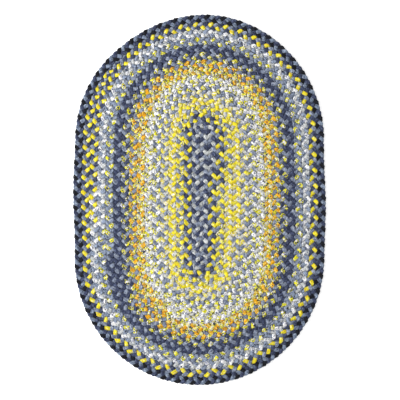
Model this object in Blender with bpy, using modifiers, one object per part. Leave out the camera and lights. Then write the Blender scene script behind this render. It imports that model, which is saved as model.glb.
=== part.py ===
"""Oval braided cotton rug: a long three-strand braid coiled into a spiral, and a border round.

Metres, +Z up. The rug lies flat with its long side along Y. The origin is the middle of the
underside, which is flat at Z = 0. Each round of braid shows as a rounded ridge on the top.
The braid runs outward clockwise, seen from above: down the right side, round the lower end,
up the left side and over the upper end, where it steps out by the width of one round.
"""

import math

import bmesh
import bpy

# Driving dimensions
LENGTH = 0.762              # the rug, end to end
ROW_WIDTH = 0.0162          # one round of braid, side to side
SPIRAL_ROUNDS = 15          # rounds of the spiral, from the core to its last one
CREST_HEIGHT = 0.0085       # top of a round above the floor
GROOVE_HEIGHT = 0.0050      # where two rounds are laced together
ROUND_GAP = 0.0003          # clear space between the spiral and the border

# The oval's straight sides and round ends both follow from the distance to the core line
SIDE_LOSS = 0.044           # a side's half length lost for each unit of distance
END_REACH = 1.007           # how far an end reaches for each unit of distance
WAIST = 0.02                # how much narrower the oval is at the ends of its sides
TAIL_DIP = 0.28             # how far the border sinks in over the spiral's tail, in rounds
THINNEST = 0.12             # an end of the braid is turned under past this, in rounds

RUG_HALF_WIDTH = (SPIRAL_ROUNDS + 1) * ROW_WIDTH
CORE_HALF_LENGTH = LENGTH / 2 - (END_REACH - SIDE_LOSS) * RUG_HALF_WIDTH

# Steps of the mesh
SIDE_STEPS = 6              # along each straight side
END_STEPS = 24              # round each end
WELD_DISTANCE = 1e-6
SHARP_ANGLE = math.radians(50)

# The border's rounded corners
EDGE_RADIUS = 0.0034
EDGE_STEPS = 3

# A round's section from its inner groove outward: (share of its width, share of its rise)
ROUND_SECTION = (
    (0.00, 0.00),
    (0.16, 0.72),
    (0.50, 1.00),
    (0.84, 0.72),
)

COLLECTION_NAME = "oval_braided_rug"
SPIRAL_COLOR = (0.42, 0.42, 0.30)
BORDER_COLOR = (0.06, 0.07, 0.12)


def clear_scene():
    """Remove whatever the opened file holds."""
    for item in list(bpy.data.objects):
        bpy.data.objects.remove(item, do_unlink=True)


def cotton(name, color):
    """Matt cotton cloth in one colour."""
    material = bpy.data.materials.new(name)
    material.use_nodes = True
    shader = material.node_tree.nodes["Principled BSDF"]
    shader.inputs["Base Color"].default_value = (*color, 1.0)
    shader.inputs["Roughness"].default_value = 0.9
    shader.inputs["Metallic"].default_value = 0.0
    return material


def clock_steps():
    """Places round the oval, as shares of a turn: right side, lower end, left side, upper end."""
    steps = []
    for quarter, count in enumerate((SIDE_STEPS, END_STEPS, SIDE_STEPS, END_STEPS)):
        for step in range(count):
            steps.append((quarter + step / count) / 4)
    return steps


def oval_point(rounds, clock):
    """The plan position a number of rounds out from the core line, at a share of a turn."""
    distance = rounds * ROW_WIDTH
    side = CORE_HALF_LENGTH - SIDE_LOSS * distance
    quarter, share = divmod(clock * 4, 1.0)
    if quarter in (0, 2):
        x = distance * (1 - WAIST + WAIST * math.sin(math.pi * share) ** 2)
        y = side * (1 - 2 * share)
    else:
        x = distance * (1 - WAIST) * math.cos(math.pi * share)
        y = -side - distance * END_REACH * math.sin(math.pi * share)
    if quarter >= 2:
        x, y = -x, -y
    return x, y


def upper_left(clock):
    """How far through the upper left quarter a place is: 0 before it and 1 past it."""
    return min(max((clock - 0.75) / 0.125, 0.0), 1.0)


def border_line(clock):
    """Rounds from the core to the border's inner edge, which sinks in over the tail."""
    return SPIRAL_ROUNDS - TAIL_DIP * math.sin(math.pi * upper_left(clock)) ** 2


def groove_line(turn, clock):
    """Rounds from the core to the inner groove of one turn, which steps out at the upper left."""
    share = upper_left(clock)
    rounds = turn + share * share * (3 - 2 * share)
    if rounds < THINNEST:
        return 0.0
    if rounds > border_line(clock) - THINNEST:
        return border_line(clock)
    return rounds


def round_section(mesh, turn, clock):
    """The points across one turn of the braid, from its inner groove to short of the next."""
    inner = groove_line(turn, clock)
    width = groove_line(turn + 1, clock) - inner
    points = []
    for across, rise in ROUND_SECTION:
        x, y = oval_point(inner + across * width, clock)
        z = GROOVE_HEIGHT + (CREST_HEIGHT - GROOVE_HEIGHT) * rise * min(width, 1.0)
        points.append(mesh.verts.new((x, y, z)))
    return points


def ridged_top(mesh):
    """One strip that coils outward from the core, each turn sharing its groove with the next.

    It is lofted by hand, because a swept tube's turns would not join along their grooves.
    """
    clocks = clock_steps()
    count = len(clocks)
    first = -END_STEPS
    sections = []
    for step in range(first, (SPIRAL_ROUNDS + 1) * count + 1):
        turn, place = divmod(step, count)
        sections.append(round_section(mesh, turn, clocks[place]))
    for step in range(SPIRAL_ROUNDS * count - first):
        near = sections[step] + sections[step + count][:1]
        far = sections[step + 1] + sections[step + 1 + count][:1]
        for i in range(len(ROUND_SECTION)):
            mesh.faces.new((near[i], far[i], far[i + 1], near[i + 1]))
    bmesh.ops.remove_doubles(mesh, verts=mesh.verts, dist=WELD_DISTANCE)
    spare = [vert for vert in mesh.verts if not vert.link_faces]
    bmesh.ops.delete(mesh, geom=spare, context="VERTS")


def close_underside(mesh):
    """Drop a wall from the top's rim to the floor and close it with one flat face."""
    rim = [edge for edge in mesh.edges if edge.is_boundary]
    wall = bmesh.ops.extrude_edge_only(mesh, edges=rim)["geom"]
    for vert in wall:
        if isinstance(vert, bmesh.types.BMVert):
            vert.co.z = 0.0
    foot = [edge for edge in wall if isinstance(edge, bmesh.types.BMEdge) and edge.is_boundary]
    bmesh.ops.contextual_create(mesh, geom=foot)
    bmesh.ops.recalc_face_normals(mesh, faces=mesh.faces)


def spiral_braid(collection):
    """The spiral of braid as one ridged, flat-bottomed oval."""
    mesh = bmesh.new()
    ridged_top(mesh)
    close_underside(mesh)
    data = bpy.data.meshes.new("spiral_braid")
    mesh.to_mesh(data)
    mesh.free()
    data.shade_smooth()
    data.set_sharp_from_angle(angle=SHARP_ANGLE)
    data.materials.append(cotton("braided_cotton", SPIRAL_COLOR))
    collection.objects.link(bpy.data.objects.new("spiral_braid", data))


def add_outline(curve, first_round):
    """A closed outline that keeps a number of rounds outside the border's inner edge."""
    clocks = clock_steps()
    spline = curve.splines.new("POLY")
    spline.points.add(len(clocks) - 1)
    for point, clock in zip(spline.points, clocks):
        x, y = oval_point(border_line(clock) + first_round, clock)
        point.co = (x, y, 0.0, 1.0)
    spline.use_cyclic_u = True


def border_braid(collection):
    """The closed border round, a flat ring with rounded edges just outside the spiral."""
    curve = bpy.data.curves.new("border_braid", "CURVE")
    curve.dimensions = "2D"
    curve.fill_mode = "BOTH"
    curve.extrude = CREST_HEIGHT / 2
    add_outline(curve, ROUND_GAP / ROW_WIDTH)
    add_outline(curve, 1.0)
    curve.materials.append(cotton("border_cotton", BORDER_COLOR))
    border = bpy.data.objects.new("border_braid", curve)
    border.location.z = CREST_HEIGHT / 2
    collection.objects.link(border)

    weld = border.modifiers.new("join_caps", "WELD")
    weld.merge_threshold = WELD_DISTANCE
    rounding = border.modifiers.new("round_edges", "BEVEL")
    rounding.width = EDGE_RADIUS
    rounding.segments = EDGE_STEPS
    rounding.limit_method = "ANGLE"
    rounding.angle_limit = SHARP_ANGLE
    rounding.use_clamp_overlap = False


def build():
    clear_scene()
    collection = bpy.data.collections.new(COLLECTION_NAME)
    bpy.context.scene.collection.children.link(collection)
    spiral_braid(collection)
    border_braid(collection)


build()
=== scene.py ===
# %% [markdown]
# # A braided oval rug
# The real rug is one long flat braid of three cotton strips, coiled into an oval spiral and
# laced edge to edge, with a dark border round sewn on outside. This lesson sweeps every strip
# along its own path through the braid, so the weave of strips over and under each other is
# real geometry and not a picture of one.

import math

import bpy
import numpy as np
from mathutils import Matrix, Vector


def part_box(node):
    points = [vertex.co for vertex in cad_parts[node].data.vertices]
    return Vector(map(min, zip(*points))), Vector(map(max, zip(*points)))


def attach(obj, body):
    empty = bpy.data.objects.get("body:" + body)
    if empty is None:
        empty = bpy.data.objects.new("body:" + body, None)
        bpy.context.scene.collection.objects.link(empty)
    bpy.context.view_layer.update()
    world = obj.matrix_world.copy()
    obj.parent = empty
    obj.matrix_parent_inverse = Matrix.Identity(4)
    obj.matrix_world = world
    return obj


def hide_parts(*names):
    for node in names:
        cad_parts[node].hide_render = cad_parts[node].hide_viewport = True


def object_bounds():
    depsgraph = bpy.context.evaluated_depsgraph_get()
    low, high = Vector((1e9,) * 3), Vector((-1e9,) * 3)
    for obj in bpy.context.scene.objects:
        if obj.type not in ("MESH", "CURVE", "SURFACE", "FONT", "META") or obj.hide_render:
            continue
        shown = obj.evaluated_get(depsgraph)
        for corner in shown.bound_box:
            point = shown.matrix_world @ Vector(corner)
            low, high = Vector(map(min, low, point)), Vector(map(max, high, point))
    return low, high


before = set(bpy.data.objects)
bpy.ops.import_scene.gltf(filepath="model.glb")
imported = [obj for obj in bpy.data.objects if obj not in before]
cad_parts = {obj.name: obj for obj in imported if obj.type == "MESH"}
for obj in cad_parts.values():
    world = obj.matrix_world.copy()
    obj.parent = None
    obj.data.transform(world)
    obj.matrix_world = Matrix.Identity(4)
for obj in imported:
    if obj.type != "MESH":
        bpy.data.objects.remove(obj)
cad_low, cad_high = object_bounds()
bpy.ops.object.select_all(action="DESELECT")
print("CAD box", [round(v, 4) for v in (*cad_low, *cad_high)])

# %% [markdown]
# ## Camera, floor and light
# The photograph looks straight down on the rug against plain white. A long lens keeps the
# rug's outline free of perspective. A broad lamp at the left shades the right-hand side of
# every lump, and a second one overhead and a pale world fill the shadows. The floor glows a
# little, like a light table, because the photograph shows no shadow round the rug.

# %% Camera over the middle of the rug
PHOTO_SIDE = 400            # the photograph's side in pixels
PHOTO_LENGTH = 370.5        # the rug's length in the photograph, in pixels
PHOTO_MIDDLE = (199.7, 199.3)   # the rug's middle in it, in pixels
LENS = 100.0                # millimetres

metres_per_pixel = (cad_high.y - cad_low.y) / PHOTO_LENGTH
view_side = PHOTO_SIDE * metres_per_pixel
camera_data = bpy.data.cameras.new("overhead_camera")
camera_data.lens = LENS
camera = bpy.data.objects.new("overhead_camera", camera_data)
bpy.context.scene.collection.objects.link(camera)
camera.location = (
    (PHOTO_SIDE / 2 - PHOTO_MIDDLE[0]) * metres_per_pixel,
    (PHOTO_MIDDLE[1] - PHOTO_SIDE / 2) * metres_per_pixel,
    cad_high.z + view_side * LENS / camera_data.sensor_width,
)
bpy.context.scene.camera = camera
print("camera height", round(camera.location.z, 3))

# %% Pale floor
FLOOR_SIDE = 8.0
FLOOR_GLOW = 0.4

bpy.ops.mesh.primitive_plane_add(size=FLOOR_SIDE, location=(0, 0, 0))
floor = bpy.context.object
floor.name = "floor"
floor_paint = bpy.data.materials.new("pale_floor")
floor_paint.use_nodes = True
floor_shader = floor_paint.node_tree.nodes["Principled BSDF"]
floor_shader.inputs["Base Color"].default_value = (0.96, 0.96, 0.96, 1)
floor_shader.inputs["Roughness"].default_value = 0.95
floor_shader.inputs["Specular IOR Level"].default_value = 0.0
floor_shader.inputs["Emission Color"].default_value = (1, 1, 1, 1)
floor_shader.inputs["Emission Strength"].default_value = FLOOR_GLOW
floor.data.materials.append(floor_paint)
print("floor", FLOOR_SIDE, "m wide")

# %% Soft studio light
WORLD_LIGHT = 0.32


def add_lamp(name, place, size, power):
    """A square area lamp that faces the rug's middle."""
    data = bpy.data.lights.new(name, "AREA")
    data.size = size
    data.energy = power
    lamp = bpy.data.objects.new(name, data)
    bpy.context.scene.collection.objects.link(lamp)
    lamp.location = place
    toward = -lamp.location
    lamp.rotation_euler = toward.to_track_quat("-Z", "Y").to_euler()


add_lamp("left_softbox", place=(-1.6, 0.1, 1.3), size=1.1, power=54.0)
add_lamp("overhead_softbox", place=(0.3, -0.2, 2.9), size=2.4, power=33.0)
world = bpy.data.worlds.new("studio")
world.use_nodes = True
world.node_tree.nodes["Background"].inputs["Color"].default_value = (1, 1, 1, 1)
world.node_tree.nodes["Background"].inputs["Strength"].default_value = WORLD_LIGHT
bpy.context.scene.world = world
bpy.context.scene.view_settings.view_transform = "Standard"
bpy.ops.object.select_all(action="DESELECT")

# %% [markdown]
# ## The oval
# Every round keeps the same distance from a straight core line, so a place on the rug is
# given by two numbers: how many rounds out from the core, and how far round the turn. The
# turn starts at the top of the right side and runs clockwise: right side, lower end, left
# side, upper end. Sizes come from the frame. The side loss, the end reach and the waist are
# those of the solids. The sizes after them say how far the maker's hands strayed from that
# even oval, and how the last round gives way to the border.

# %% Places on the oval
ROUNDS = 15                 # rounds of the spiral inside the border
SIDE_LOSS = 0.044           # a side's half length lost for each unit of distance
END_REACH = 1.007           # how far an end reaches for each unit of distance
WAIST = 0.02                # how much narrower the oval is at the ends of its sides
BULGE = 0.3                 # how far out, in rounds, the rounds halfway out lie on the right
BULGE_AT = 0.11             # where on the turn they lie furthest out
BULGE_POWER = 3             # the higher, the shorter the bulge
EDGE_OUT = 0.07             # how far out, in rounds, the last rounds lie all the way round
SHOULDERS = 0.08            # how much further out they lie at the four ends of the sides
SHOULDERS_EARLY = 0.024     # how much sooner on the turn than those ends
LEAN = 0.05                 # how much further out at the lower left, and less at the upper right
STEP_FROM = 0.75            # where on the turn the upper end starts, and a round steps out
STEP_LENGTH = 0.125         # how much of a turn it takes to do so
STEP_LATE = 0.016           # how much later than the solids' grooves the rounds step out
TAIL_DIP = 0.34             # how far the border sinks in over the spiral's tail, in rounds
DIP_LATE = 0.02             # how much later it does so than on the solids
TAIL_END = 0.806            # from here on the border spreads into the room past the tail
SPREAD_LENGTH = 0.015       # how much of a turn it takes to do so

border_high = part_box("border_braid")[1]
row_width = border_high.x / (ROUNDS + 1)
thickness = border_high.z
core_half = border_high.y - (END_REACH - SIDE_LOSS) * border_high.x


def handwork(rounds, clock):
    """How far out, in rounds, the maker's hands laid a place that an even oval has here."""
    share = rounds / (ROUNDS + 1)
    toward_bulge = (1 + np.cos(2 * np.pi * (clock - BULGE_AT))) / 2
    halfway = BULGE * toward_bulge ** BULGE_POWER * np.sin(np.pi * share)
    shoulders = SHOULDERS * np.cos(8 * np.pi * (clock + SHOULDERS_EARLY))
    lean = -LEAN * np.cos(2 * np.pi * clock)
    return halfway + (EDGE_OUT + shoulders + lean) * share ** 2


def oval(rounds, clock):
    """Plan positions of arrays of places: rounds out from the core, and share of a turn."""
    distance = (rounds + handwork(rounds, clock)) * row_width
    side = core_half - SIDE_LOSS * distance
    quarter = np.floor(clock * 4)
    angle = np.pi * (clock * 4 - quarter)
    along_side = quarter % 2 == 0
    x = np.where(
        along_side,
        distance * (1 - WAIST + WAIST * np.sin(angle) ** 2),
        distance * (1 - WAIST) * np.cos(angle),
    )
    y = np.where(
        along_side,
        side * (1 - 2 * angle / np.pi),
        -side - distance * END_REACH * np.sin(angle),
    )
    half_turn = np.where(quarter >= 2, -1.0, 1.0)
    return half_turn * x, half_turn * y


def upper_left(clock):
    """How far through the stretch where a round steps out: 0 before it and 1 past it."""
    return np.clip((clock - STEP_FROM) / STEP_LENGTH, 0, 1)


def border_line(clock):
    """Rounds from the core to the line the border is laid on, which sinks in over the tail."""
    return ROUNDS - TAIL_DIP * np.sin(np.pi * upper_left(clock - DIP_LATE)) ** 2


def groove_line(turns):
    """Rounds from the core to the inner groove, which steps out at the upper left."""
    turn = np.floor(turns)
    share = upper_left(turns - turn - STEP_LATE)
    return np.clip(turn + share * share * (3 - 2 * share), 0, border_line(turns - turn))


def border_inside(clock):
    """Rounds from the core to the border's inner edge, which fills the room past the tail."""
    spread_out = np.clip((clock - TAIL_END) / SPREAD_LENGTH, 0, 1)
    room = border_line(clock) - groove_line(ROUNDS - 1 + clock)
    return border_line(clock) - room * spread_out


print("row width", round(row_width, 5), "core half length", round(core_half, 4))

# %% [markdown]
# ## The path of the braid
# The braid's middle line is laid down first, as a fine table of places with the length run so
# far. No one braids with a ruler, so the number of repeats of the braid runs a little ahead of
# an even count and then behind it, in slow waves. The border is a second, closed line. It has
# a whole number of repeats, so that its two ends meet.

# %% Tables of the two middle lines
SPIRAL_FROM = -0.20         # turns: just before the top of the core
SPIRAL_TO = 14.82           # turns: in the upper left, where the tail goes under the border
BORDER_JOIN = 0.436         # the border's ends meet at the lower left
TABLE_STEP = 0.0005         # turns from one place in a table to the next
SPIRAL_REPEATS = 594        # repeats of the braid along the spiral, each about 32 mm long
BORDER_REPEATS = 65         # and round the border
AHEAD = 0.5                 # repeats that the braiding runs ahead by, and then behind
AHEAD_WAVE = 2.0            # metres of braid from one such wave to the next


def path_table(turns, middle, width, count):
    """Turns, rounds out, width in rounds, length and repeats so far, along a middle line."""
    x, y = oval(middle, turns % 1.0)
    length = np.concatenate([[0], np.cumsum(np.hypot(np.diff(x), np.diff(y)))])
    share = length / length[-1]
    waves = round(length[-1] / AHEAD_WAVE)
    repeats = count * share + AHEAD * np.sin(2 * np.pi * waves * share)
    return {
        "turns": turns, "middle": middle, "width": width, "length": length, "repeats": repeats,
    }


turns = np.arange(SPIRAL_FROM, SPIRAL_TO, TABLE_STEP)
inner, outer = groove_line(turns), groove_line(turns + 1)
spiral_path = path_table(turns, (inner + outer) / 2, outer - inner, SPIRAL_REPEATS)

turns = np.arange(BORDER_JOIN, BORDER_JOIN + 1 + TABLE_STEP / 2, TABLE_STEP)
inner, outer = border_inside(turns % 1.0), border_line(turns % 1.0) + 1
border_path = path_table(turns, (inner + outer) / 2, outer - inner, BORDER_REPEATS)
print("spiral length", round(spiral_path["length"][-1], 2))
print("border length", round(border_path["length"][-1], 2))

# %% [markdown]
# ## Three strips in a flat braid
# Seen along the braid, each strip follows a figure of eight: it crosses from one edge to the
# other and back once in a repeat, over on the way out from the middle and under on the way
# in. The three strips do the same a third of a repeat apart. A strip is wide and flat on
# the face and turns on edge where it folds round the side, so its section changes on the way.

# %% Sizes of the braid
STEPS_IN_REPEAT = 14        # rings of points
CROWDING = 0.2              # how far the rings are drawn towards the folds
SWING = 0.0060              # how far a strip's line swings to either side
STRAIGHTNESS = 0.10         # above 0 it runs straighter and turns sharper at the sides
LIFT = 0.0018               # above and below the middle height
LATE = 0.15                 # how late it comes over and dips, in radians of that wave
PINCH = 0.08                # how much narrower the strip is pulled on the underside
HALF_WIDTH = 0.0045         # of the strip itself
HALF_DEPTH = 0.0026
FOLD = 0.5                  # how soon before the side the strip starts to roll over
AROUND = 10                 # points round a section
FIRMNESS = 8                # the higher, the more suddenly a strip stops at floor and crest
THINNEST = 0.05             # rounds; the braid's ends are no narrower than this
UNSTEADY_PHASE = 0.08       # how unevenly a strip crosses, in radians
UNSTEADY_LIFT = 0.06        # how unevenly it rises, as a share of its lift
UNSTEADY_SIZE = 0.05        # how unevenly it is cut, as a share of its size
BORDER_REACH = (1.07, 1.0, 0.94)    # shares of the swing, for the border's three strips
SPIRAL_SEED = 0
BORDER_SEED = 50
SEED_STEP = 10              # from one strip's random waves to the next one's

# %% Slow random waves
WAVES = 4                   # sine waves added up, each one faster than the last
FIRST_WAVE = 6.0            # waves to the metre in the slowest one
WAVE_STEP = 1.9             # how many times faster the next one is
WAVE_SUM = 2.2              # what their sum is divided by


def smooth_noise(place, seed):
    """A slow random wave, mostly between -1 and 1 and the same on every run."""
    rng = np.random.default_rng(seed)
    wave = np.zeros_like(place)
    for number in range(WAVES):
        waves_per_metre = FIRST_WAVE * WAVE_STEP ** number * rng.uniform(0.8, 1.2)
        wave += np.sin(place * waves_per_metre * 2 * np.pi + rng.uniform(0, 2 * np.pi))
    return wave / WAVE_SUM


print("random wave", np.round(smooth_noise(np.arange(3) / 10, SPIRAL_SEED), 2))

# %% Rings round a strip


def settle(height):
    """Flatten what would reach below the floor or above the crests, as the rug's weight does."""
    share = height / (thickness / 2) - 1
    return thickness / 2 * (1 + share / (1 + np.abs(share) ** FIRMNESS) ** (1 / FIRMNESS))


def turned_sections(line, roll, size):
    """Rings of points round a line: an ellipse rolled over, its first point given again."""
    forward = np.gradient(line[:, :2], axis=0)
    forward /= np.linalg.norm(forward, axis=1, keepdims=True)
    side = np.stack([forward[:, 1], -forward[:, 0], np.zeros(len(line))], axis=1)
    above = np.array([0.0, 0.0, 1.0])
    angle = np.linspace(-0.5, 1.5, AROUND + 1) * np.pi
    u = (HALF_WIDTH * size)[:, None] * np.cos(angle)
    v = (HALF_DEPTH * size)[:, None] * np.sin(angle)
    cosine, sine = np.cos(roll)[:, None], np.sin(roll)[:, None]
    sideways = u * cosine + v * sine
    upward = v * cosine - u * sine
    rings = line[:, None] + sideways[..., None] * side[:, None] + upward[..., None] * above
    rings[..., 2] = settle(rings[..., 2])
    return rings


def strip_rings(path, strip, seed, reach=1.0):
    """Rings of points round one strip, all along a path. Its reach is a share of the swing."""
    first, last = path["repeats"][0], path["repeats"][-1]
    count = int((last - first) * STEPS_IN_REPEAT)
    even = 2 * np.pi * (np.linspace(first, last, count) + strip / 3)
    phase = even + CROWDING * np.sin(2 * even)
    run = np.interp(phase / (2 * np.pi) - strip / 3, path["repeats"], path["length"])
    turns = np.interp(run, path["length"], path["turns"])
    middle = np.interp(run, path["length"], path["middle"])
    width = np.interp(run, path["length"], path["width"])
    phase = phase + UNSTEADY_PHASE * smooth_noise(run, seed + 1)

    swing = reach * SWING / row_width * (np.sin(phase) - STRAIGHTNESS * np.sin(3 * phase))
    x, y = oval(middle + swing * width, turns % 1.0)
    lift = LIFT * (1 + UNSTEADY_LIFT * smooth_noise(run, seed + 2)) * np.minimum(width, 1)
    z = thickness / 2 + lift * np.sin(2 * phase - LATE)
    line = np.stack([x, y, z], axis=1)

    turned = np.cos(phase) / np.hypot(np.cos(phase), FOLD) * math.hypot(1, FOLD)
    roll = np.pi / 2 * (1 - turned)
    size = 1 + UNSTEADY_SIZE * smooth_noise(run, seed + 3)
    size = size * np.sqrt(np.clip(width, THINNEST, 1))
    size *= 1 + PINCH * (np.sin(2 * phase) - 1)
    rings = turned_sections(line, roll, size)
    return {"rings": rings, "line": line, "run": run, "turns": turns, "phase": phase}


spiral_strips = [
    strip_rings(spiral_path, i, SPIRAL_SEED + SEED_STEP * i) for i in range(3)
]
border_strips = [
    strip_rings(border_path, i, BORDER_SEED + SEED_STEP * i, reach)
    for i, reach in enumerate(BORDER_REACH)
]
print("rings on a strip", len(spiral_strips[0]["run"]), "and", len(border_strips[0]["run"]))

# %% [markdown]
# ## Which cloth each strip is made of
# The maker sews strips end to end, so a strip's cloth changes here and there on its way
# outward. The chart gives, for each change, the turn where it comes and the cloths that the
# three strips have from there on. The whole number is the turn, counted from the core, and
# the rest is how far round it: .00 right side, .25 lower end, .50 left side, .75 upper end.

# %% The chart of cloths, from the core outward
CHART = (
    (-1.0, "slate", "grey_white", "navy"),
    (1.07, "slate", "yellow", "navy"),
    (2.09, "slate", "yellow", "pale_print"),
    (3.08, "pale_yellow", "yellow", "lavender"),
    (4.19, "pale_yellow", "lavender", "slate"),
    (5.24, "yellow_print", "white_print", "slate"),
    (6.34, "yellow_print", "white_print", "lavender"),
    (7.42, "shaded_print", "pale_lavender", "orange_print"),
    (8.41, "shaded_print", "slate", "orange_print"),
    (9.46, "shaded_print", "slate", "navy"),
    (10.46, "navy", "slate", "navy"),
    (11.51, "slate_fleck", "slate", "yellow_print"),
    (12.56, "slate_fleck", "grey_white", "white_print"),
    (13.57, "slate", "yellow", "white_print"),
    (13.64, "slate", "yellow", "navy"),
    (14.802, "slate", "slate", "navy"),
)
BORDER_CLOTHS = ("black", "navy", "light_slate")
HIDDEN = 3 * math.pi / 4    # a strip is lowest, and a seam in it hidden, at this phase


def cloth_runs(strip, column):
    """Stretches of one strip that are one cloth: (cloth, first ring, last ring)."""
    changes = []
    for row in CHART:
        place = np.searchsorted(strip["turns"], row[0])
        phase = strip["phase"][min(place, len(strip["phase"]) - 1)]
        hidden = HIDDEN + math.pi * round((phase - HIDDEN) / math.pi)
        ring = 0 if place == 0 else int(np.searchsorted(strip["phase"], hidden))
        if not changes or changes[-1][0] != row[column]:
            changes.append((row[column], ring))
    ends = [ring for _, ring in changes[1:]] + [len(strip["run"]) - 1]
    return [(cloth, ring, end) for (cloth, ring), end in zip(changes, ends)]


runs_along = [cloth_runs(strip, column) for column, strip in enumerate(spiral_strips, 1)]
for column, runs in enumerate(runs_along, 1):
    print("strip", column, [cloth for cloth, _, _ in runs])

# %% [markdown]
# ## Sweeping a strip into a mesh
# A curve with a bevel would do for one plain cord, but its section could not turn from flat
# to on edge. So the rings are joined into tubes directly. Each tube is closed at both ends
# and has a UV map in metres, across and along the strip, for the cloth's weave to follow.

# %% Tubes from rings
END_SHARE = 0.55            # of its width, that a strip has left at its very end
END_REST = 0.3              # how far past the last ring it ends, as a share of one step
END_RUN = 0.0005            # metres of cloth over that rounded end


def close_ends(rings, line):
    """Add a smaller ring beyond each end, so that the closed end is rounded."""
    first = line[0] + (rings[0] - line[0]) * END_SHARE + (line[0] - line[1]) * END_REST
    last = line[-1] + (rings[-1] - line[-1]) * END_SHARE + (line[-1] - line[-2]) * END_REST
    return np.concatenate([first[None], rings, last[None]])


def tube(rings, line, run, sideways):
    """Vertices, faces and UVs of one closed tube."""
    rings = close_ends(rings, line)
    run = np.concatenate([run[:1] - END_RUN, run, run[-1:] + END_RUN])
    loops = rings[:, :-1]
    count, around = loops.shape[:2]
    index = np.arange(count * around).reshape(count, around)
    near, far = index[:-1], index[1:]
    quads = np.stack(
        [near, np.roll(near, -1, 1), np.roll(far, -1, 1), far], axis=2
    ).reshape(-1, 4)

    step = np.linalg.norm(np.diff(rings, axis=1), axis=2)
    across = np.concatenate([np.zeros((count, 1)), np.cumsum(step, axis=1)], axis=1)
    across += sideways - across[:, -1:] / 2
    along = np.repeat(run[:, None], around + 1, axis=1)
    spot = np.stack([across, along], axis=2)
    corners = np.stack(
        [spot[:-1, :-1], spot[:-1, 1:], spot[1:, 1:], spot[1:, :-1]], axis=2
    ).reshape(-1, 2)
    caps = [index[0][::-1], index[-1]]
    cap_corners = np.concatenate([spot[0, :-1][::-1], spot[-1, :-1]])
    return loops.reshape(-1, 3), quads, corners, caps, cap_corners


def strips_piece(name, tubes, cloth_numbers):
    """One mesh object that holds a number of closed tubes, each of its own cloth."""
    points, faces, uvs, numbers, shift = [], [], [], [], 0
    for (vertices, quads, corners, caps, cap_corners), number in zip(tubes, cloth_numbers):
        points.append(vertices)
        numbers += [number] * (len(quads) + len(caps))
        faces += (quads + shift).tolist() + [(cap + shift).tolist() for cap in caps]
        uvs += [corners, cap_corners]
        shift += len(vertices)
    mesh = bpy.data.meshes.new(name)
    mesh.from_pydata(np.concatenate(points), [], faces)
    layer = mesh.uv_layers.new(name="strip")
    layer.data.foreach_set("uv", np.concatenate(uvs).astype(np.float32).ravel())
    mesh.polygons.foreach_set("use_smooth", np.ones(len(faces), bool))
    mesh.polygons.foreach_set("material_index", np.array(numbers, dtype=np.int32))
    mesh.update()
    piece = bpy.data.objects.new(name, mesh)
    bpy.context.scene.collection.objects.link(piece)
    return piece


def stretch(strip, first, last, sideways):
    """The tube of one stretch of a strip."""
    part = slice(first, last + 1)
    return tube(strip["rings"][part], strip["line"][part], strip["run"][part], sideways)


# %% [markdown]
# ### One piece for each cloth
# All tubes of one cloth become one mesh, so a dozen pieces hold the whole rug. Four cloths
# share the piece of another one that they are like, as its second material. The UV maps of
# the spiral's three strips lie apart, so that neighbouring strips never show the same print.

# %% Make the strips of every cloth
GOES_WITH = {
    "slate_fleck": "slate", "shaded_print": "yellow_print", "pale_print": "pale_yellow",
    "pale_lavender": "lavender",
}
CLOTH_APART = 0.1           # metres between the strips' places on their cloth
BORDER_CLOTH_AT = 0.5       # and the place of the border's strips
cloths_in = {}
tubes_in = {}
numbers_in = {}
for column, (strip, runs) in enumerate(zip(spiral_strips, runs_along), 1):
    for cloth, first, last in runs:
        name = GOES_WITH.get(cloth, cloth)
        cloths = cloths_in.setdefault(name, [])
        if cloth not in cloths:
            cloths.append(cloth)
        one_tube = stretch(strip, first, last, CLOTH_APART * column)
        tubes_in.setdefault(name, []).append(one_tube)
        numbers_in.setdefault(name, []).append(cloths.index(cloth))

strips = {}
for name, cloths in cloths_in.items():
    strips[name] = strips_piece(f"{name}_strips", tubes_in[name], numbers_in[name])
    faces = strips[name].data.polygons
    print(strips[name].name, cloths, "triangles", sum(len(f.vertices) - 2 for f in faces))

border = {}
for strip, cloth in zip(border_strips, BORDER_CLOTHS):
    whole = stretch(strip, 0, len(strip["run"]) - 1, BORDER_CLOTH_AT)
    border[cloth] = strips_piece(f"border_{cloth}_strip", [whole], [0])
print("border", [piece.name for piece in border.values()])

# %% [markdown]
# ## Cotton cloth
# The strips are cut from many old and new cottons: plain dyed ones that have faded a little
# unevenly, and small prints that show only as flecks, because a strip is so narrow. What they
# share is made as node groups that each cloth uses with its own values: a print or the patches
# of a plain cloth, then the relief of weave and creases, then crown wear and painted groove
# shade.
# All follow the strip's own UV map in metres, so they turn with the cloth. Only the height that
# tells crown from groove is read from Object coordinates.

# %% Helpers for nodes


def put(tree, kind, settings, sockets):
    """Add a node, and set or link each of its named sockets."""
    made = tree.nodes.new(kind)
    for name, value in settings.items():
        setattr(made, name, value)
    for name, value in sockets.items():
        if isinstance(value, bpy.types.NodeSocket):
            tree.links.new(value, made.inputs[name])
        else:
            made.inputs[name].default_value = value
    return made


def calculate(tree, operation, first, second):
    """The result of a Math node."""
    made = put(tree, "ShaderNodeMath", {"operation": operation}, {0: first, 1: second})
    return made.outputs[0]


def blend_colors(tree, share, first, second, blend="MIX"):
    """A colour that goes from the first to the second with a share from 0 to 1."""
    settings = {"data_type": "RGBA", "blend_type": blend}
    made = put(tree, "ShaderNodeMix", settings, {0: share, 6: first, 7: second})
    return made.outputs[2]


def spread(tree, value, low, high, to_low, to_high):
    """A value moved smoothly from one range to another."""
    settings = {"interpolation_type": "SMOOTHSTEP"}
    ranges = {"Value": value, 1: low, 2: high, 3: to_low, 4: to_high}
    return put(tree, "ShaderNodeMapRange", settings, ranges).outputs[0]


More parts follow.
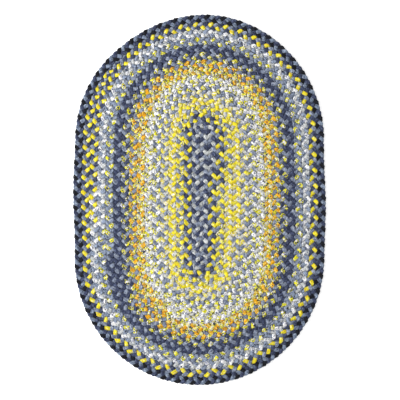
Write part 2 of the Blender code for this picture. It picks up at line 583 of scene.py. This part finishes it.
def effect(name, inputs, outputs):
    """An empty node group with named sockets, and its own input and output nodes."""
    group = bpy.data.node_groups.new(name, "ShaderNodeTree")
    for socket, kind in inputs:
        group.interface.new_socket(socket, in_out="INPUT", socket_type=kind)
    for socket, kind in outputs:
        group.interface.new_socket(socket, in_out="OUTPUT", socket_type=kind)
    given = group.nodes.new("NodeGroupInput")
    result = group.nodes.new("NodeGroupOutput")
    return group, given.outputs, result.inputs


def cloth_place(tree):
    """The place on the strip's cloth, in metres across and along it."""
    return put(tree, "ShaderNodeUVMap", {"uv_map": "strip"}, {}).outputs[0]


def place_in_flecks(tree, per_metre):
    """The place on the cloth counted in flecks."""
    settings = {"operation": "SCALE"}
    sockets = {0: cloth_place(tree), "Scale": per_metre}
    return put(tree, "ShaderNodeVectorMath", settings, sockets).outputs[0]


COLOR, NUMBER = "NodeSocketColor", "NodeSocketFloat"
print("helpers ready")

# %% [markdown]
# ### The print
# A small print is a field of flecks. Voronoi cells, bent a little by noise, give each fleck
# its own random numbers, and they pick the ground colour or one of two others. A second, finer
# field without the bend scatters small dots of all three colours over it.

# %% The print group
DOTS_PER_FLECK = 2.7        # how many dots lie in the length of one fleck
DOT_SHARE = 0.06            # of the cloth, for the dots of one colour
BEND = 0.9                  # how far the noise bends the flecks, in flecks
BEND_SCALE = 1.3
PATTERN = [
    ("Ground", COLOR), ("Second", COLOR), ("Second Share", NUMBER), ("Third", COLOR),
    ("Third Share", NUMBER), ("Flecks per Metre", NUMBER),
]
printed_cloth, given, result = effect("printed_cloth", PATTERN, [("Color", COLOR)])
spot = place_in_flecks(printed_cloth, given["Flecks per Metre"])
bend = put(
    printed_cloth, "ShaderNodeTexNoise", {"noise_dimensions": "2D"},
    {"Vector": spot, "Scale": BEND_SCALE, "Detail": 1.0},
).outputs["Color"]
bent = put(
    printed_cloth, "ShaderNodeVectorMath", {"operation": "MULTIPLY_ADD"},
    {0: bend, 1: (BEND, BEND, 0), 2: spot},
).outputs[0]
fleck = put(
    printed_cloth, "ShaderNodeTexVoronoi", {"voronoi_dimensions": "2D"},
    {"Vector": bent, "Scale": 1.0},
).outputs["Color"]
chance = put(printed_cloth, "ShaderNodeSeparateColor", {}, {0: fleck})
is_second = calculate(printed_cloth, "LESS_THAN", chance.outputs[0], given["Second Share"])
is_third = calculate(printed_cloth, "LESS_THAN", chance.outputs[1], given["Third Share"])
dyed = blend_colors(printed_cloth, is_second, given["Ground"], given["Second"])
dyed = blend_colors(printed_cloth, is_third, dyed, given["Third"])
dot = put(
    printed_cloth, "ShaderNodeTexVoronoi", {"voronoi_dimensions": "2D"},
    {"Vector": spot, "Scale": DOTS_PER_FLECK},
).outputs["Color"]
chance = put(printed_cloth, "ShaderNodeSeparateColor", {}, {0: dot})
for channel, color in ((0, "Ground"), (1, "Second"), (2, "Third")):
    is_dot = calculate(printed_cloth, "LESS_THAN", chance.outputs[channel], DOT_SHARE)
    dyed = blend_colors(printed_cloth, is_dot, dyed, given[color])
printed_cloth.links.new(dyed, result["Color"])
print("print nodes", len(printed_cloth.nodes))

# %% [markdown]
# ### Plain cloth
# Plain dyed cotton fades in soft patches. The two colours of noise give a patch of the second
# and of the third shade each, and the edges of a patch run out softly into the ground.

# %% The plain cloth group
PATCH_SCALE = 0.6
PATCH_FROM, PATCH_FULL = 0.70, 0.90     # noise plus share, where a patch starts and is full
plain_cloth, given, result = effect("plain_cloth", PATTERN, [("Color", COLOR)])
spot = place_in_flecks(plain_cloth, given["Flecks per Metre"])
patch = put(
    plain_cloth, "ShaderNodeTexNoise", {"noise_dimensions": "2D"},
    {"Vector": spot, "Scale": PATCH_SCALE, "Detail": 3.0, "Roughness": 0.6},
).outputs["Color"]
shade = put(plain_cloth, "ShaderNodeSeparateColor", {}, {0: patch})
dyed = given["Ground"]
for channel, color in ((0, "Second"), (1, "Third")):
    amount = calculate(plain_cloth, "ADD", shade.outputs[channel], given[f"{color} Share"])
    amount = spread(plain_cloth, amount, PATCH_FROM, PATCH_FULL, 0.0, 1.0)
    dyed = blend_colors(plain_cloth, amount, dyed, given[color])
plain_cloth.links.new(dyed, result["Color"])
print("plain cloth nodes", len(plain_cloth.nodes))

# %% [markdown]
# ### Weave and creases
# This cotton has about eighteen threads to the centimetre. Two sine waves, across and along
# the strip, give the bump of its weave. Longer creases run along the strip, where the cloth
# was folded and pulled tight round its neighbours.

# %% The relief group
THREAD = 0.00055            # metres from thread to thread
CREASES = (420, 95, 1)      # to the metre, across and along the strip
CREASE_FLOOR, CREASE_TOP = 0.30, 0.56   # noise, at the bottom of a crease and clear of it
cloth_relief, given, result = effect(
    "cloth_relief",
    [("Weave Height", NUMBER), ("Crease Height", NUMBER)],
    [("Height", NUMBER), ("Crease", NUMBER)],
)
spot = cloth_place(cloth_relief)
place = put(cloth_relief, "ShaderNodeSeparateXYZ", {}, {0: spot})
waves = []
for axis in (0, 1):
    turned = calculate(cloth_relief, "MULTIPLY", place.outputs[axis], 2 * math.pi / THREAD)
    waves.append(calculate(cloth_relief, "SINE", turned, 0.0))
weave = calculate(cloth_relief, "MULTIPLY", waves[0], waves[1])
weave = calculate(cloth_relief, "MULTIPLY", weave, given["Weave Height"])
stretched = put(
    cloth_relief, "ShaderNodeMapping", {}, {"Vector": spot, "Scale": CREASES}
).outputs[0]
folds = put(
    cloth_relief, "ShaderNodeTexNoise", {"noise_dimensions": "2D"},
    {"Vector": stretched, "Scale": 1.0, "Detail": 2.0, "Distortion": 0.4},
).outputs["Fac"]
crease = spread(cloth_relief, folds, CREASE_FLOOR, CREASE_TOP, 0.0, 1.0)
depth = calculate(cloth_relief, "MULTIPLY", crease, given["Crease Height"])
height = calculate(cloth_relief, "ADD", weave, depth)
cloth_relief.links.new(height, result["Height"])
cloth_relief.links.new(crease, result["Crease"])
print("relief nodes", len(cloth_relief.nodes))

# %% [markdown]
# ### Wear and painted shade
# Feet rub the crowns of a rug smooth. Painted shade darkens its grooves and creases, and height
# above the floor tells crown from groove. The dye also varies in patches, and single threads are
# a little darker or lighter than those beside them, which two fields of drawn-out noise give.

# %% The wear and painted shade group
GROOVE_UP_TO = 0.45         # of the rug's thickness
CROWN_FROM = 0.92
CREASE_SHADE = 0.78         # painted shade: brightness at the bottom of a crease
DYE_PATCHES = 110.0         # to the metre
DARK_THREAD, LIGHT_THREAD = 0.93, 1.07
THREADS_ALONG = (2400, 300, 1)      # how fine the noise is across and along the strip
THREADS_ACROSS = (300, 2400, 1)
GROOVE_ROUGHNESS = 0.95
CROWN_ROUGHNESS = 0.78

worn_cotton_with_painted_shade, given, result = effect(
    "worn_cotton_with_painted_shade",
    [("Color", COLOR), ("Crease", NUMBER), ("Groove Shade", NUMBER), ("Unevenness", NUMBER)],
    [("Color", COLOR), ("Roughness", NUMBER)],
)
place = put(worn_cotton_with_painted_shade, "ShaderNodeTexCoord", {}, {}).outputs["Object"]
up = put(worn_cotton_with_painted_shade, "ShaderNodeSeparateXYZ", {}, {0: place}).outputs[2]
crown = spread(
    worn_cotton_with_painted_shade, up, GROOVE_UP_TO * thickness, CROWN_FROM * thickness, 0.0, 1.0
)
# Painted shade: the colour is darkened low in the grooves and at the bottom of creases.
painted_groove_shade = spread(worn_cotton_with_painted_shade, crown, 0.0, 1.0, given["Groove Shade"], 1.0)
painted_crease_shade = spread(worn_cotton_with_painted_shade, given["Crease"], 0.0, 1.0, CREASE_SHADE, 1.0)
spot = cloth_place(worn_cotton_with_painted_shade)
patches = put(
    worn_cotton_with_painted_shade, "ShaderNodeTexNoise", {"noise_dimensions": "2D"},
    {"Vector": spot, "Scale": DYE_PATCHES, "Detail": 3.0},
).outputs["Fac"]
darkest = calculate(worn_cotton_with_painted_shade, "SUBTRACT", 1.0, given["Unevenness"])
by_dye = spread(worn_cotton_with_painted_shade, patches, 0.3, 0.7, darkest, 1.0)
light = calculate(worn_cotton_with_painted_shade, "MULTIPLY", painted_groove_shade, painted_crease_shade)
light = calculate(worn_cotton_with_painted_shade, "MULTIPLY", light, by_dye)
for scale in (THREADS_ALONG, THREADS_ACROSS):
    drawn_out = put(worn_cotton_with_painted_shade, "ShaderNodeMapping", {}, {"Vector": spot, "Scale": scale})
    threads = put(
        worn_cotton_with_painted_shade, "ShaderNodeTexNoise", {"noise_dimensions": "2D"},
        {"Vector": drawn_out.outputs[0], "Scale": 1.0, "Detail": 1.0},
    ).outputs["Fac"]
    by_thread = spread(worn_cotton_with_painted_shade, threads, 0.3, 0.7, DARK_THREAD, LIGHT_THREAD)
    light = calculate(worn_cotton_with_painted_shade, "MULTIPLY", light, by_thread)
grey = put(worn_cotton_with_painted_shade, "ShaderNodeCombineColor", {}, {0: light, 1: light, 2: light})
wear_and_painted_shade = blend_colors(worn_cotton_with_painted_shade, 1.0, given["Color"], grey.outputs[0], "MULTIPLY")
worn_cotton_with_painted_shade.links.new(wear_and_painted_shade, result["Color"])
rubbed = spread(worn_cotton_with_painted_shade, crown, 0.0, 1.0, GROOVE_ROUGHNESS, CROWN_ROUGHNESS)
worn_cotton_with_painted_shade.links.new(rubbed, result["Roughness"])
print("wear nodes", len(worn_cotton_with_painted_shade.nodes))

# %% [markdown]
# ### The cloths themselves
# Each row gives a cloth's ground colour, the two colours of its flecks with a share for each,
# and how fine the flecks are. In a print a share is that of the cloth. A plain cloth has soft
# patches in shades close to its ground, and a larger share there makes more and wider patches.

# %% The cloths
CLOTHS = {
    # name: ground, second, share, third, share, flecks per metre
    "navy": ((60, 68, 95), (36, 41, 62), 0.26, (98, 108, 136), 0.18, 420),
    "slate": ((126, 136, 156), (84, 91, 112), 0.26, (166, 174, 190), 0.22, 420),
    "slate_fleck": ((144, 156, 177), (108, 118, 140), 0.22, (36, 39, 54), 0.12, 460),
    "black": ((8, 10, 18), (28, 32, 45), 0.25, (3, 3, 7), 0.20, 420),
    "light_slate": ((119, 132, 153), (74, 84, 105), 0.26, (160, 173, 192), 0.20, 420),
    "yellow": ((230, 216, 36), (214, 164, 46), 0.18, (238, 236, 182), 0.16, 420),
    "yellow_print": ((228, 221, 34), (236, 234, 240), 0.28, (44, 50, 78), 0.24, 500),
    "shaded_print": ((217, 209, 26), (232, 230, 238), 0.26, (38, 44, 74), 0.34, 500),
    "orange_print": ((227, 161, 6), (240, 226, 116), 0.25, (58, 56, 76), 0.12, 500),
    "white_print": ((245, 245, 243), (146, 150, 174), 0.24, (42, 46, 68), 0.08, 520),
    "pale_yellow": ((228, 217, 62), (236, 232, 228), 0.30, (196, 170, 74), 0.14, 500),
    "pale_print": ((224, 220, 100), (220, 216, 226), 0.30, (42, 46, 70), 0.22, 540),
    "pale_lavender": ((212, 213, 196), (240, 220, 40), 0.30, (68, 72, 94), 0.12, 500),
    "lavender": ((203, 205, 205), (228, 214, 120), 0.12, (104, 110, 136), 0.20, 500),
    "grey_white": ((181, 184, 181), (98, 104, 122), 0.26, (222, 224, 226), 0.20, 540),
}
PLAIN = ("navy", "slate", "black", "light_slate", "yellow")
WEAVE_HEIGHT = 0.00003      # metres
CREASE_HEIGHT = 0.00045     # metres
GROOVE_SHADE = 0.9          # painted shade: brightness down in a groove
UNEVENNESS = 0.10           # how much darker the dye gets in places


def dye(red, green, blue):
    """A colour given from 0 to 255 as a picture has it, turned to the shader's scale."""
    shares = [level / 255 for level in (red, green, blue)]
    bright = [((s + 0.055) / 1.055) ** 2.4 if s > 0.04 else s / 12.92 for s in shares]
    return (*bright, 1.0)


def cotton(name, pattern, ground, second, second_share, third, third_share, flecks):
    """A cotton cloth with its own print, or with the patches of a plain one."""
    material = bpy.data.materials.new(name)
    material.use_nodes = True
    tree = material.node_tree
    shader = tree.nodes["Principled BSDF"]
    shader.inputs["Specular IOR Level"].default_value = 0.2
    shader.inputs["Sheen Weight"].default_value = 0.08
    shader.inputs["Sheen Roughness"].default_value = 0.5
    printed = put(
        tree, "ShaderNodeGroup", {"node_tree": pattern},
        {"Ground": dye(*ground), "Second": dye(*second), "Second Share": second_share,
         "Third": dye(*third), "Third Share": third_share, "Flecks per Metre": flecks},
    )
    relief = put(
        tree, "ShaderNodeGroup", {"node_tree": cloth_relief},
        {"Weave Height": WEAVE_HEIGHT, "Crease Height": CREASE_HEIGHT},
    )
    # The wear group also adds painted shade to the grooves and creases.
    wear_and_painted_shade = put(
        tree, "ShaderNodeGroup", {"node_tree": worn_cotton_with_painted_shade},
        {"Color": printed.outputs["Color"], "Crease": relief.outputs["Crease"],
         "Groove Shade": GROOVE_SHADE, "Unevenness": UNEVENNESS},
    )
    bump = put(tree, "ShaderNodeBump", {}, {"Distance": 1.0, "Height": relief.outputs["Height"]})
    tree.links.new(wear_and_painted_shade.outputs["Color"], shader.inputs["Base Color"])
    tree.links.new(wear_and_painted_shade.outputs["Roughness"], shader.inputs["Roughness"])
    tree.links.new(bump.outputs["Normal"], shader.inputs["Normal"])
    return material


cottons = {}
for cloth, look in CLOTHS.items():
    pattern = plain_cloth if cloth in PLAIN else printed_cloth
    cottons[cloth] = cotton(f"{cloth}_cotton", pattern, *look)
for name, piece in strips.items():
    for cloth in cloths_in[name]:
        piece.data.materials.append(cottons[cloth])
for cloth, piece in border.items():
    piece.data.materials.append(cottons[cloth])
print("cloths", len(cottons))

# %% [markdown]
# ## Tying the pieces to the frame
# The strips stand for the two braids of the solid model, so they ride on its one body and
# hide its nodes. Together they are one flat thing that lies on the floor.

# %% Ride and replace
for name, piece in strips.items():
    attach(piece, "root")
    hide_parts("spiral_braid")
for cloth, piece in border.items():
    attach(piece, "root")
    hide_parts("border_braid")
print("pieces tied", len(strips) + len(border))
